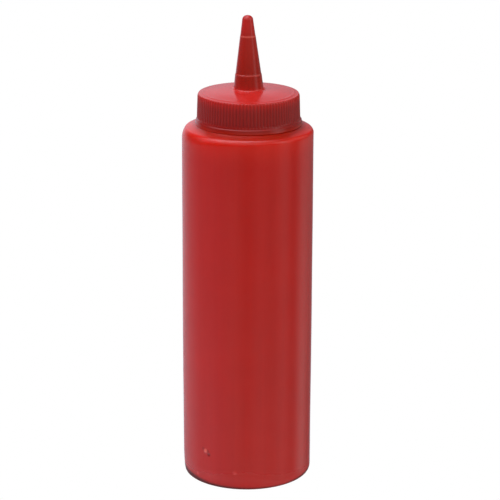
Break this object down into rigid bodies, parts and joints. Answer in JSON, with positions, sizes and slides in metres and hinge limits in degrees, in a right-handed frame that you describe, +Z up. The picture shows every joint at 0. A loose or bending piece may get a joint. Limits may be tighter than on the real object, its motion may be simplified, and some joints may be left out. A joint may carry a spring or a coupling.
{
  "type": "squeeze ketchup bottle",
  "caption": "Tall round red squeeze bottle for ketchup, with a ribbed screw cap whose domed top carries a slim stepped cone nozzle.",
  "frame": {"origin": "centre of the standing ring, on the surface the bottle stands on", "axes": "+Z up along the bottle's axis towards the nozzle's tip; -Y towards the viewer; the nozzle leans slightly to -X"},
  "size_m": [0.0736, 0.0736, 0.2659],
  "materials": {
    "bottle_plastic": "opaque red soft polyethylene, semi-gloss, blow moulded",
    "cap_plastic": "opaque red polyethylene, glossy, injection moulded"
  },
  "bodies": {
    "root": {"bottle_body": "bottle_plastic", "nozzle_cap": "cap_plastic"}
  },
  "joints": []
}
